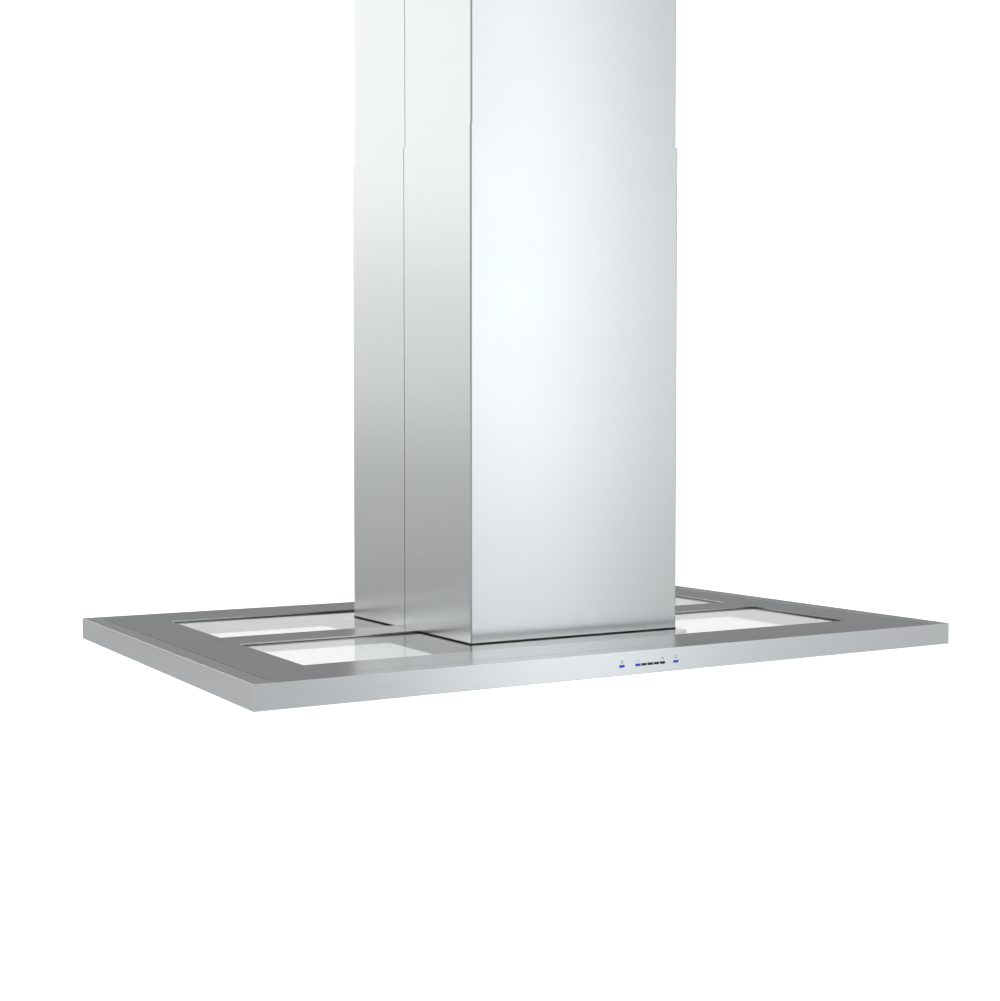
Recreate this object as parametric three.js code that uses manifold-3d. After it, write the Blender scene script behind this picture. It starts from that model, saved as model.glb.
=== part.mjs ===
// Island range hood: a slim steel canopy with four glazed windows, hung from the ceiling by a telescopic
// chimney. Millimetres, +Z up, width along X, depth along Y, front at -Y.
// The origin is the middle of the ceiling plate's top face, where the hood meets the ceiling.
import * as THREE from "three";
import { mergeVertices } from "three/addons/utils/BufferGeometryUtils.js";
import Module from "manifold-3d";

const wasm = await Module();
wasm.setup();

// ---------------------------------------------------------------- driving dimensions
const fit = 0.3; // gap between pieces that touch
const past = 1; // how far a cutter runs past the face it cuts

const canopy = { width: 1067, depth: 699, height: 30 };
const rim = { sheet: 1.5, lip: 24, foot: 14 };
const topPlate = { sheet: 2, seam: 1, hem: 9, border: 101, bar: 70 };
const glass = { thickness: 4, bedding: 0.5, overlap: 12, corner: 6, seal: 0.9, sealWidth: 5 };
const pan = { sheet: 1.2, recess: 3.5, ledge: 14, hem: 11, clearance: 0.5 };
const beam = { sheet: 1.5, depth: 17, web: 20, end: 8, chimneyGap: 0.6 };
const bridge = { side: 8.5 };
const suction = { sideMargin: 16.5, endMargin: 3.5, sheet: 1.5, lip: 12 }; // margins past the chimney

const cover = { width: 335, depth: 361, sheet: 1, bend: 2, seam: 1.4, seamAt: 10, lowerHeight: 677, upperHeight: 640 };
const chimney = { shadowGap: 0.9, exposed: 320, sliding: 1, flange: 10, ceilingGap: 0.5 };
const ceilingPlate = { sheet: 2.5, inset: 2, corner: 20, slot: 8, slotLength: 22, screwInset: 24, notch: 4 };
const frame = { sheet: 2, clearance: 1.5, nesting: 0.4, lowerLeg: 32, upperLeg: 22 };
const upright = { lowerTop: 560, upperBottom: 330, holes: 6, holeRadius: 3, holePitch: 30, slotWidth: 7 };
const tie = { height: 24, sheet: 2, clearance: 1.1 };

const blower = { sideGap: 13, endGap: 16, sheet: 1.2, headroom: 144, flange: 10 }; // gaps to the frame
const scroll = { gap: 3, floor: 3.5, side: 10, wall: 2.5, cutoff: 9, growth: 28, tongue: 60, inletInset: 15 };
const wheel = { radius: 75, blade: 13, bladeThickness: 1.6, blades: 30, halfWidth: 70, disc: 2, hub: 12, ring: 4 };
const motor = { radius: 42, from: 6, to: 92, runningGap: 0.1, boreDepth: 20, boss: 16 };
const shaft = { radius: 4, front: -16, back: 20 };
const bracket = { sheet: 2.4, clamp: 3.5, ring: 10, arm: 14, band: 20 };
const capacitor = { radius: 17, height: 62, x: -100, fromWall: 4, z: 40 };

const collar = { radius: 99.8, sheet: 1.5, height: 60, flange: 12.2, stop: 5.5, stopHeight: 6, bead: 1.5 };
const damper = { sheet: 1.2, pin: 2, bore: 2.3, knuckle: 4, knuckles: 8, side: 1.8, above: 0.8, pinOut: 4 };

const electronics = { width: 160, gap: 1.8, height: 88, sheet: 1.2 };
const gland = { radius: 9, bore: 4.5, nut: 6, thread: 6, x: 52 };

const lamp = { bezel: 32, body: 27, lens: 22, bezelDepth: 1.7, lensDepth: 1.9, top: 9.5 };
const filter = { gap: 1, thickness: 10, frame: 9, frontFrame: 24, slat: 12, slot: 7, slatSheet: 1.6 };
const latch = { width: 40, length: 11, travel: 6, tongue: 19, wall: 2.5, depth: 5.4, tab: 2.6 };

const control = { height: 11.8, barWidth: 7.4, barHeight: 2.3, pitch: 9.6, first: -21, count: 5, outer: [-45.7, 38.8] };
const guide = { proud: 0.2, base: 3, baseHeight: 5, clearance: 0.3 };
const board = { width: 118, height: 15, sheet: 1.6, behind: 2.5 };

// ---------------------------------------------------------------- derived places
const halfW = canopy.width / 2;
const halfD = canopy.depth / 2;
const windowX = halfW - topPlate.border; // window's edge across the width
const windowY = halfD - topPlate.border; // window's edge across the depth
const plateX = halfW - rim.lip - topPlate.seam;
const plateY = halfD - rim.lip - topPlate.seam;
const glassTop = -topPlate.sheet - glass.bedding;
const glassBottom = glassTop - glass.thickness;
const ledge = glassBottom - glass.seal - 2 * fit; // top of every flange that carries the glass
const panBottom = pan.recess - canopy.height;
const controlZ = control.height - canopy.height;

const lowerOuter = { x: cover.width / 2, y: cover.depth / 2 };
const suctionX = lowerOuter.x + suction.sideMargin;
const suctionY = lowerOuter.y + suction.endMargin;
const upperInset = cover.sheet + chimney.sliding;
const upperOuter = { x: lowerOuter.x - upperInset, y: lowerOuter.y - upperInset };
const upperInner = { x: upperOuter.x - cover.sheet, y: upperOuter.y - cover.sheet };
const lowerFrame = { x: upperInner.x - frame.clearance, y: upperInner.y - frame.clearance };
const nest = frame.sheet + frame.nesting;
const upperFrame = { x: lowerFrame.x - nest, y: lowerFrame.y - nest };
const notch = { x: lowerFrame.x + 1.5, y: lowerFrame.y + 1.5, corner: 2 }; // hole in plates and glass

const coverBottom = glassTop + chimney.shadowGap;
const coverTop = coverBottom + cover.lowerHeight;
const ceiling = coverTop + chimney.exposed; // ceiling above the canopy's top face

const blowerX = lowerFrame.x - blower.sideGap;
const blowerY = lowerFrame.y - blower.endGap;
const scrollStart = wheel.radius + scroll.cutoff;
const scrollEnd = scrollStart + scroll.growth;
const scrollInlet = wheel.radius - scroll.inletInset;
const scrollHalf = wheel.halfWidth + scroll.side;
const scrollRight = scrollStart + (scroll.growth * scroll.tongue) / 180 + scroll.wall; // reach towards +X
const axle = { x: blowerX - blower.sheet - scroll.gap - scrollRight, z: scroll.floor + scroll.wall + scrollEnd };
const blowerTop = axle.z + blower.headroom;
const collarFlange = collar.radius + collar.flange;
const collarTop = blowerTop + fit + collar.sheet + collar.height;
const damperZ = blowerTop + fit + collar.sheet + collar.stopHeight + fit + damper.sheet + damper.above;

// ---------------------------------------------------------------- shaping tools
function solid(geometry) {
  const bare = geometry.index ? geometry.toNonIndexed() : geometry.clone();
  const onlyPlaces = new THREE.BufferGeometry().setAttribute("position", bare.getAttribute("position"));
  const merged = mergeVertices(onlyPlaces, 1e-4);
  const index = merged.index.array;
  const triangles = [];
  for (let i = 0; i < index.length; i += 3) {
    const [a, b, c] = [index[i], index[i + 1], index[i + 2]];
    if (a !== b && b !== c && a !== c) triangles.push(a, b, c);
  }
  const mesh = new wasm.Mesh({
    numProp: 3,
    vertProperties: new Float32Array(merged.attributes.position.array),
    triVerts: new Uint32Array(triangles),
  });
  return new wasm.Manifold(mesh);
}

const join = (...solids) => solids.reduce((a, b) => a.add(b));
const cut = (body, ...tools) => tools.reduce((a, b) => a.subtract(b), body);

function box(x0, x1, y0, y1, z0, z1) {
  const size = [Math.abs(x1 - x0), Math.abs(y1 - y0), Math.abs(z1 - z0)];
  const g = new THREE.BoxGeometry(...size);
  g.translate((x0 + x1) / 2, (y0 + y1) / 2, (z0 + z1) / 2);
  return solid(g);
}

// A box centred on the Z axis, by its half sizes.
const centred = (x, y, z0, z1) => box(-x, x, -y, y, z0, z1);

function roundedOutline(x0, x1, y0, y1, r) {
  const s = new THREE.Shape();
  s.moveTo(x0 + r, y0);
  s.lineTo(x1 - r, y0);
  s.absarc(x1 - r, y0 + r, r, -Math.PI / 2, 0);
  s.lineTo(x1, y1 - r);
  s.absarc(x1 - r, y1 - r, r, 0, Math.PI / 2);
  s.lineTo(x0 + r, y1);
  s.absarc(x0 + r, y1 - r, r, Math.PI / 2, Math.PI);
  s.lineTo(x0, y0 + r);
  s.absarc(x0 + r, y0 + r, r, Math.PI, 1.5 * Math.PI);
  return s;
}

function slab(shape, z0, z1, curveSegments = 4) {
  const g = new THREE.ExtrudeGeometry(shape, { depth: z1 - z0, bevelEnabled: false, curveSegments });
  g.translate(0, 0, z0);
  return solid(g);
}

const roundedBox = (x0, x1, y0, y1, z0, z1, r) =>
  slab(roundedOutline(Math.min(x0, x1), Math.max(x0, x1), Math.min(y0, y1), Math.max(y0, y1), r), z0, z1);

// A shape drawn in X and Z, swept along Y.
function sweepY(shape, y0, y1, curveSegments = 6) {
  const g = new THREE.ExtrudeGeometry(shape, { depth: y1 - y0, bevelEnabled: false, curveSegments });
  g.rotateX(Math.PI / 2);
  g.translate(0, y1, 0);
  return solid(g);
}

function rod(axis, radius, from, to, at = [0, 0], segments = 24) {
  const g = new THREE.CylinderGeometry(radius, radius, Math.abs(to - from), segments);
  const middle = (from + to) / 2;
  if (axis === "z") g.rotateX(Math.PI / 2).translate(at[0], at[1], middle);
  if (axis === "y") g.translate(at[0], middle, at[1]);
  if (axis === "x") g.rotateZ(Math.PI / 2).translate(middle, at[0], at[1]);
  return solid(g);
}

// A closed outline of [radius, height] pairs turned about the Z axis.
function turned(outline, segments = 32) {
  const area = outline.reduce((sum, [r, h], i) => {
    const [r2, h2] = outline[(i + 1) % outline.length];
    return sum + r * h2 - r2 * h;
  }, 0);
  const ordered = area > 0 ? outline : [...outline].reverse();
  const points = [...ordered, ordered[0]].map(([r, h]) => new THREE.Vector2(r, h));
  const g = new THREE.LatheGeometry(points, segments);
  g.rotateX(Math.PI / 2);
  return solid(g);
}

function geometryOf(body) {
  const m = body.getMesh();
  const places = new Float32Array(m.numVert * 3);
  for (let i = 0; i < m.numVert; i++) {
    places.set(m.vertProperties.subarray(i * m.numProp, i * m.numProp + 3), i * 3);
  }
  const g = new THREE.BufferGeometry();
  g.setAttribute("position", new THREE.BufferAttribute(places, 3));
  g.setIndex(new THREE.BufferAttribute(m.triVerts, 1));
  const flat = g.toNonIndexed();
  flat.computeVertexNormals();
  return flat;
}

const finish = (color, roughness, metalness, extra = {}) =>
  new THREE.MeshStandardMaterial({ color, roughness, metalness, ...extra });
const materials = {
  brushedSteel: finish(0xb9bcbe, 0.32, 1),
  galvanised: finish(0xa4a8aa, 0.45, 1),
  glass: finish(0xdfe6e4, 0.05, 0, { transparent: true, opacity: 0.3 }),
  rubber: finish(0x1b1b1c, 0.8, 0),
  blackPlastic: finish(0x1d1e20, 0.5, 0),
  whitePlastic: finish(0xe6e6e2, 0.45, 0),
  aluminium: finish(0xc4c6c8, 0.4, 1),
  castMotor: finish(0x8d9194, 0.5, 1),
  lens: finish(0xf4f4ee, 0.3, 0),
  indicator: finish(0x2436d8, 0.3, 0),
  circuit: finish(0x1f5a34, 0.5, 0),
};

function piece(group, name, body, material) {
  const mesh = new THREE.Mesh(geometryOf(body), material);
  mesh.name = name;
  group.add(mesh);
}

// ---------------------------------------------------------------- canopy
const barPlaces = [
  ...control.outer,
  ...Array.from({ length: control.count }, (_, i) => control.first + i * control.pitch),
];

// Welded channel round the edge: lip on top, face, and foot below. Slots for the indicator bars.
function canopyRim() {
  const slotHalf = { x: control.barWidth / 2 + guide.clearance, z: control.barHeight / 2 + guide.clearance };
  const slots = barPlaces.map((x) =>
    box(
      x - slotHalf.x,
      x + slotHalf.x,
      -halfD - past,
      -halfD + rim.sheet + past,
      controlZ - slotHalf.z,
      controlZ + slotHalf.z,
    ),
  );
  return cut(
    centred(halfW, halfD, -canopy.height, 0),
    centred(halfW - rim.sheet, halfD - rim.sheet, -canopy.height + rim.sheet, -rim.sheet),
    centred(halfW - rim.lip, halfD - rim.lip, -rim.sheet - past, past),
    centred(halfW - rim.foot, halfD - rim.foot, -canopy.height - past, -canopy.height + rim.sheet + past),
    ...slots,
  );
}

const barEnd = windowX + beam.end;

// Half of the top skin, with its window; side is -1 at the front and 1 at the rear.
function topSkin(side) {
  const near = (side * topPlate.seam) / 2;
  const hemInner = { x: plateX - topPlate.sheet, y: side * (plateY - topPlate.sheet) };
  const tray = cut(
    box(-plateX, plateX, near, side * plateY, -topPlate.hem, 0),
    box(-hemInner.x, hemInner.x, near - side * past, hemInner.y, -topPlate.hem - past, -topPlate.sheet),
  );
  return cut(
    tray,
    box(-windowX, windowX, (side * topPlate.bar) / 2, side * windowY, -topPlate.hem, past),
    box(-barEnd, barEnd, near - side * past, (side * topPlate.bar) / 2, -topPlate.hem, past),
  );
}

const paneOuter = { x: windowX + glass.overlap, y: windowY + glass.overlap, near: topPlate.bar / 2 - glass.overlap };

function paneBody(side, inset, z0, z1) {
  const [x, y] = [notch.x + inset, notch.y + inset];
  return cut(
    roundedBox(
      -paneOuter.x + inset,
      paneOuter.x - inset,
      side * (paneOuter.near + inset),
      side * (paneOuter.y - inset),
      z0,
      z1,
      glass.corner,
    ),
    roundedBox(-x, x, -y, y, z0 - past, z1 + past, notch.corner),
  );
}

const glassPane = (side) => paneBody(side, 0, glassBottom, glassTop);

function glassSeal(side) {
  const [z0, z1] = [ledge + fit, ledge + fit + glass.seal];
  return cut(paneBody(side, 1, z0, z1), paneBody(side, 1 + glass.sealWidth, z0 - past, z1 + past));
}

const panOuter = { x: halfW - rim.sheet - pan.clearance, y: halfD - rim.sheet - pan.clearance };
const lampPlace = { x: (windowX + plateX) / 2, y: (windowY + plateY) / 2 };

// Folded rail under the front or rear border: window wall with a ledge for the glass, floor and outer hem.
function panRailAcross(side) {
  const wallX = windowX + pan.ledge;
  const lampHoles = [-1, 1].map((s) =>
    rod("z", lamp.body + 1, panBottom - past, panBottom + pan.sheet + past, [s * lampPlace.x, side * lampPlace.y], 32),
  );
  const wallEnd = side * (windowY + pan.sheet);
  const hemEnd = side * (panOuter.y - pan.sheet);
  const folded = join(
    box(-panOuter.x, panOuter.x, side * windowY, side * panOuter.y, panBottom, panBottom + pan.sheet),
    box(-wallX, wallX, side * windowY, wallEnd, panBottom, ledge),
    box(-wallX, wallX, side * windowY, side * (windowY + pan.ledge), ledge - pan.sheet, ledge),
    box(-panOuter.x, panOuter.x, hemEnd, side * panOuter.y, panBottom, panBottom + pan.hem),
  );
  const controlGap = board.width / 2 + 4;
  const opened = cut(
    folded,
    box(
      -controlGap,
      controlGap,
      -panOuter.y - past,
      -panOuter.y + pan.sheet + past,
      panBottom + pan.sheet,
      panBottom + pan.hem + past,
    ),
  );
  return cut(opened, ...lampHoles);
}

function panRailAlong(side) {
  const y = windowY - fit;
  const hemEnd = side * (panOuter.x - pan.sheet);
  return join(
    box(side * windowX, side * panOuter.x, -y, y, panBottom, panBottom + pan.sheet),
    box(side * windowX, side * (windowX + pan.sheet), -y, y, panBottom, ledge),
    box(side * windowX, side * (windowX + pan.ledge), -y, y, ledge - pan.sheet, ledge),
    box(hemEnd, side * panOuter.x, -y, y, panBottom, panBottom + pan.hem),
  );
}

// Glazing bar between the front and rear panes: strip on top, web between the panes, channel below them.
function crossBeam(side) {
  const [x0, x1] = [side * (suctionX + fit), side * (windowX - fit)];
  const [near, far] = [side * (lowerOuter.x + beam.chimneyGap), side * (barEnd - fit)];
  const y = topPlate.bar / 2;
  const bar = join(
    box(near, far, -y + fit, y - fit, -topPlate.sheet, 0),
    box(near, far, -beam.web, beam.web, ledge + fit, -topPlate.sheet / 2),
    box(x0, x1, -beam.web, beam.web, ledge - beam.sheet / 2, -topPlate.sheet),
    box(x0, x1, -y, y, -beam.depth, ledge),
  );
  return cut(
    bar,
    box(x0 - side * past, x1 + side * past, -y + beam.sheet, y - beam.sheet, -beam.depth - past, ledge - beam.sheet),
  );
}

// Shallow channel that closes the underside between the suction box and the front or rear rail.
function bridgeTray(side) {
  const [y0, y1] = [side * (suctionY + fit), side * (windowY - fit)];
  return cut(
    box(-suctionX, suctionX, y0, y1, panBottom, panBottom + bridge.side),
    box(
      -suctionX + pan.sheet,
      suctionX - pan.sheet,
      y0 - side * past,
      y1 + side * past,
      panBottom + pan.sheet,
      panBottom + bridge.side + past,
    ),
  );
}

const filterOpening = suctionX - suction.sheet - suction.lip;

function suctionBox() {
  const inner = { x: suctionX - suction.sheet, y: suctionY - suction.sheet };
  const mouth = { x: blowerX - blower.sheet, y: blowerY - blower.sheet };
  return cut(
    centred(suctionX, suctionY, panBottom, ledge),
    centred(inner.x, inner.y, panBottom + pan.sheet, ledge - suction.sheet),
    centred(mouth.x, mouth.y, ledge - suction.sheet - past, ledge + past),
    centred(filterOpening, inner.y - suction.lip, panBottom - past, panBottom + pan.sheet + past),
  );
}

function lampBody(x, y) {
  const low = panBottom - fit;
  const seat = lamp.lens + fit;
  const body = turned([
    [0, -lamp.top],
    [0, low - lamp.bezelDepth + lamp.lensDepth + fit],
    [seat, low - lamp.bezelDepth + lamp.lensDepth + fit],
    [seat, low - lamp.bezelDepth],
    [lamp.bezel - 1, low - lamp.bezelDepth],
    [lamp.bezel, low - lamp.bezelDepth + 1],
    [lamp.bezel, low],
    [lamp.body, low],
    [lamp.body, -lamp.top],
  ]);
  return body.translate([x, y, 0]);
}

function lampLens(x, y) {
  const low = panBottom - fit - lamp.bezelDepth + fit / 2;
  return rod("z", lamp.lens, low, low + lamp.lensDepth, [x, y], 32);
}

// ---------------------------------------------------------------- controls
function lightGuide() {
  const face = -halfD + rim.sheet + fit;
  const ends = [Math.min(...barPlaces), Math.max(...barPlaces)];
  const margin = control.barWidth;
  const tongues = barPlaces.map((x) =>
    box(
      x - control.barWidth / 2,
      x + control.barWidth / 2,
      -halfD - guide.proud,
      face + guide.base / 2,
      controlZ - control.barHeight / 2,
      controlZ + control.barHeight / 2,
    ),
  );
  const half = guide.baseHeight / 2;
  const base = box(ends[0] - margin, ends[1] + margin, face, face + guide.base, controlZ - half, controlZ + half);
  return join(base, ...tongues);
}

function controlBoard() {
  const y = -halfD + rim.sheet + fit + guide.base + board.behind;
  const low = panBottom + pan.sheet + fit;
  return box(-board.width / 2, board.width / 2, y, y + board.sheet, low, low + board.height);
}

// ---------------------------------------------------------------- chimney covers
// Corner points of a quarter bend, from the X side to the Y side.
function bend(x, y, r, steps = 4) {
  return Array.from({ length: steps + 1 }, (_, i) => {
    const a = (i / steps) * (Math.PI / 2);
    return [x - r + r * Math.cos(a), y - r + r * Math.sin(a)];
  });
}

// One C-shaped half of a cover; side is -1 at the front and 1 at the rear. A flange turns in at each seam.
function coverHalf(side, outer, z0, z1, flange) {
  const inner = { x: outer.x - cover.sheet, y: outer.y - cover.sheet };
  const near = cover.seam / 2 + side * cover.seamAt;
  const turn = near + cover.sheet;
  const edge = flange
    ? [[outer.x, near], [outer.x - flange, near], [outer.x - flange, turn], [inner.x, turn]]
    : [[outer.x, near], [inner.x, near]];
  const outside = bend(outer.x, outer.y, cover.bend).reverse();
  const inside = bend(inner.x, inner.y, cover.bend - cover.sheet);
  const right = [...outside, ...edge, ...inside];
  const left = [...right].reverse().map(([x, y]) => [-x, y]);
  const outline = [...right, ...left].map(([x, y]) => new THREE.Vector2(x, side * y));
  return slab(new THREE.Shape(outline), z0, z1);
}

// ---------------------------------------------------------------- telescopic frame
// Angle post in one corner: sx and sy are the signs of its corner.
function angle(sx, sy, outer, leg, z0, z1) {
  const corner = box(sx * outer.x, sx * (outer.x - leg), sy * outer.y, sy * (outer.y - leg), z0, z1);
  const inside = [sx * (outer.x - frame.sheet), sy * (outer.y - frame.sheet)];
  return cut(
    corner,
    box(
      inside[0],
      sx * (outer.x - leg - past),
      inside[1],
      sy * (outer.y - leg - past),
      z0 - past,
      z1 + past,
    ),
  );
}

function lowerUpright(sx, sy) {
  const z0 = ledge + fit;
  const y = sy * lowerFrame.y;
  const x = sx * (lowerFrame.x - frame.lowerLeg * 0.55);
  const half = upright.slotWidth / 2;
  const slotSpan = [upright.lowerTop - upright.holes * upright.holePitch, upright.lowerTop - 2 * tie.height];
  const slot = box(x - half, x + half, y - sy * (frame.sheet + past), y + sy * past, slotSpan[0], slotSpan[1]);
  return cut(angle(sx, sy, lowerFrame, frame.lowerLeg, z0, upright.lowerTop), slot);
}

function upperUpright(sx, sy) {
  const top = ceiling - ceilingPlate.sheet - fit;
  const y = [sy * (upperFrame.y + past), sy * (upperFrame.y - frame.sheet - past)];
  const x = sx * (lowerFrame.x - frame.lowerLeg * 0.55);
  const holes = Array.from({ length: upright.holes }, (_, i) => {
    const z = upright.upperBottom + (i + 0.5) * upright.holePitch;
    return rod("y", upright.holeRadius, Math.min(...y), Math.max(...y), [x, z], 6);
  });
  return cut(angle(sx, sy, upperFrame, frame.upperLeg, upright.upperBottom, top), ...holes);
}

function frameTie(side) {
  const face = lowerFrame.y - frame.sheet - fit;
  const x = upperFrame.x - frame.upperLeg - tie.clearance;
  return box(-x, x, side * (face - tie.sheet), side * face, upright.lowerTop - tie.height, upright.lowerTop);
}

function ceilingFlange() {
  const half = { x: upperInner.x - ceilingPlate.inset, y: upperInner.y - ceilingPlate.inset };
  const hole = collarFlange;
  const [z0, z1] = [ceiling - ceilingPlate.sheet, ceiling];
  const slots = [-1, 1].flatMap((sx) =>
    [-1, 1].map((sy) => {
      const x = sx * (half.x - ceilingPlate.screwInset);
      const y = sy * (half.y - ceilingPlate.screwInset);
      const w = ceilingPlate.slotLength / 2;
      const h = ceilingPlate.slot / 2;
      return roundedBox(x - w, x + w, y - h, y + h, z0 - past, z1 + past, h - 0.01);
    }),
  );
  const notches = [-1, 1].map((s) => {
    const inner = upperOuter.x - chimney.flange - ceilingPlate.notch;
    const [y0, y1] = [cover.seamAt - ceilingPlate.notch, cover.seamAt + ceilingPlate.notch];
    return box(s * inner, s * (half.x + past), y0, y1, z0 - past, z1 + past);
  });
  return cut(
    centred(half.x, half.y, z0, z1),
    roundedBox(-hole, hole, -hole, hole, z0 - past, z1 + past, ceilingPlate.corner),
    ...slots,
    ...notches,
  );
}

// ---------------------------------------------------------------- blower
function blowerBox() {
  const half = { x: blowerX, y: blowerY };
  const low = ledge + fit;
  const shell = join(
    centred(half.x, half.y, low, blowerTop),
    centred(half.x + blower.flange, half.y + blower.flange, low, low + blower.sheet),
  );
  return cut(
    shell,
    centred(half.x - blower.sheet, half.y - blower.sheet, low - past, blowerTop - blower.sheet),
    rod("z", collar.radius - collar.sheet - collar.stop, 0, blowerTop + past, [0, 0], 48),
  );
}

// Outline of the spiral air space, made bigger by grow, with its outlet at height top.
function scrollOutline(grow, top) {
  const steps = 20;
  const s = new THREE.Shape();
  const begin = THREE.MathUtils.degToRad(scroll.tongue);
  const sweep = begin + Math.PI;
  for (let i = 0; i <= steps; i++) {
    const t = i / steps;
    const r = scrollStart + scroll.growth * t + grow;
    const a = begin - sweep * t;
    const [x, z] = [axle.x + r * Math.cos(a), axle.z + r * Math.sin(a)];
    if (i === 0) s.moveTo(x, z);
    else s.lineTo(x, z);
  }
  const right = axle.x + scrollStart * Math.cos(begin) + grow;
  s.lineTo(axle.x - scrollEnd - grow, top);
  s.lineTo(right, top);
  s.lineTo(right, axle.z + (scrollStart + grow) * Math.sin(begin));
  return s;
}

function scrollShell(side) {
  const top = blowerTop - blower.sheet - fit;
  const sweep = (shape, from, to) => sweepY(shape, Math.min(side * from, side * to), Math.max(side * from, side * to));
  return cut(
    sweep(scrollOutline(scroll.wall, top), fit / 2, scrollHalf),
    sweep(scrollOutline(0, top + past), fit / 2 - past, scrollHalf - scroll.wall),
    rod("y", scrollInlet, 0, side * (scrollHalf + past), [axle.x, axle.z], 32),
  );
}

// A solid turned about the Z axis, laid along Y at the blower's axle.
const onAxle = (body) => body.rotate([-90, 0, 0]).translate([axle.x, 0, axle.z]);

function ring(outer, inner, from, to, segments = 32) {
  const outline = [
    [inner, from],
    [outer, from],
    [outer, to],
    [inner, to],
  ];
  return turned(outline, segments);
}

function bladeSolid(turn) {
  const inner = wheel.radius - wheel.blade;
  const lean = THREE.MathUtils.degToRad(28);
  const points = [0, 0.5, 1].map((t) => {
    const r = inner + wheel.blade * t;
    const a = turn + lean * t * t * 0.5;
    return new THREE.Vector2(r * Math.cos(a), r * Math.sin(a));
  });
  const offset = (p, d) => {
    const l = p.length();
    return new THREE.Vector2(p.x - (p.y / l) * d, p.y + (p.x / l) * d);
  };
  const half = wheel.bladeThickness / 2;
  const outline = [...points.map((p) => offset(p, -half)), ...points.map((p) => offset(p, half)).reverse()];
  return slab(new THREE.Shape(outline), -wheel.halfWidth, wheel.halfWidth);
}

function impellerWheel() {
  const bore = shaft.radius + fit;
  const blades = Array.from({ length: wheel.blades }, (_, i) => bladeSolid((i / wheel.blades) * 2 * Math.PI));
  const edge = { out: wheel.radius, in: wheel.radius - wheel.ring };
  const parts = [
    ring(wheel.radius, bore, -wheel.disc / 2, wheel.disc / 2),
    ring(wheel.hub, bore, shaft.front + 2, motor.from - 3),
    ring(edge.out, edge.in, -wheel.halfWidth, -wheel.halfWidth + wheel.ring),
    ring(edge.out, edge.in, wheel.halfWidth - wheel.ring, wheel.halfWidth),
  ];
  return onAxle(join(...parts, ...blades));
}

function motorBody() {
  const { radius, from, to, boreDepth, boss } = motor;
  const bore = shaft.radius + motor.runningGap;
  return onAxle(
    turned([
      [bore, from],
      [boss, from],
      [boss, from + 6],
      [radius - 3, from + 8],
      [radius, from + 12],
      [radius, to - 8],
      [radius - 6, to - 2],
      [boss, to - 2],
      [boss, to],
      [0, to],
      [0, from + boreDepth],
      [bore, from + boreDepth],
    ]),
  );
}

function motorSpider() {
  const from = scrollHalf + fit;
  const to = from + bracket.sheet;
  const inner = motor.radius + fit;
  const clamp = inner + bracket.clamp;
  const outer = scrollInlet + bracket.ring;
  const arms = [0, 1, 2].map((i) => {
    const arm = box(clamp - 1, scrollInlet + 3, -bracket.arm / 2, bracket.arm / 2, from, to);
    return arm.rotate([0, 0, 90 + i * 120]);
  });
  const middle = (motor.from + motor.to) / 2 + 12;
  const band = ring(clamp, inner, middle, middle + bracket.band + 8);
  return onAxle(join(ring(outer, scrollInlet, from, to), band, ...arms));
}

function runCapacitor() {
  const { radius, height, x, fromWall, z } = capacitor;
  const y = blowerY - blower.sheet - fromWall - radius;
  return turned([
    [0, z],
    [radius - 2, z],
    [radius, z + 2],
    [radius, z + height - 4],
    [radius - 3, z + height],
    [6, z + height],
    [6, z + height + 8],
    [0, z + height + 8],
  ]).translate([x, y, 0]);
}

// ---------------------------------------------------------------- outlet and damper
function outletCollar() {
  const z = blowerTop + fit;
  const inner = collar.radius - collar.sheet;
  const stop = inner - collar.stop;
  const top = collarTop;
  const flange = cut(
    centred(collarFlange, collarFlange, z, z + collar.sheet),
    rod("z", stop, z - past, z + collar.sheet + past, [0, 0], 48),
  );
  const tube = turned(
    [
      [stop, z + collar.sheet / 2],
      [collar.radius, z + collar.sheet / 2],
      [collar.radius, top - 14],
      [collar.radius + collar.bead, top - 12],
      [collar.radius, top - 10],
      [collar.radius, top],
      [inner, top],
      [inner, z + collar.sheet + collar.stopHeight],
      [stop, z + collar.sheet + collar.stopHeight],
    ],
    48,
  );
  const pinHole = rod("y", damper.bore, -collar.radius - past, collar.radius + past, [0, damperZ], 16);
  return cut(join(flange, tube), pinHole);
}

function damperPin() {
  const end = collar.radius + damper.pinOut;
  const headed = join(
    rod("y", damper.pin, -end, end, [0, damperZ], 16),
    rod("y", damper.pin * 1.8, -end, -end + 1.5, [0, damperZ], 16),
  );
  return headed;
}

// Half-round flap; side is -1 on the left and 1 on the right. Its knuckles alternate with the other flap's.
function damperFlap(side) {
  const reach = collar.radius - collar.sheet - damper.side;
  const top = damperZ - damper.above;
  const disc = rod("z", reach, top - damper.sheet, top, [0, 0], 48);
  const keep = box(side * (damper.knuckle + 0.6), side * (reach + past), -reach, reach, 0, ceiling);
  const pitch = (2 * reach * 0.9) / damper.knuckles;
  const knuckles = [];
  for (let i = 0; i < damper.knuckles; i++) {
    if (i % 2 === (side < 0 ? 0 : 1)) continue;
    const from = -reach * 0.9 + i * pitch + 0.7;
    const to = from + pitch - 1.4;
    knuckles.push(rod("y", damper.knuckle, from, to, [0, damperZ], 16));
    knuckles.push(box(0, side * (damper.knuckle + 4), from, to, top - damper.sheet, top));
  }
  const bore = rod("y", damper.bore, -reach - past, reach + past, [0, damperZ], 16);
  return cut(join(disc.intersect(keep), ...knuckles), bore);
}

// ---------------------------------------------------------------- electronics
const trayZ = blowerTop + fit;
const trayY = -(collarFlange + electronics.gap);
const trayDepth = blowerY + trayY;

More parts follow.
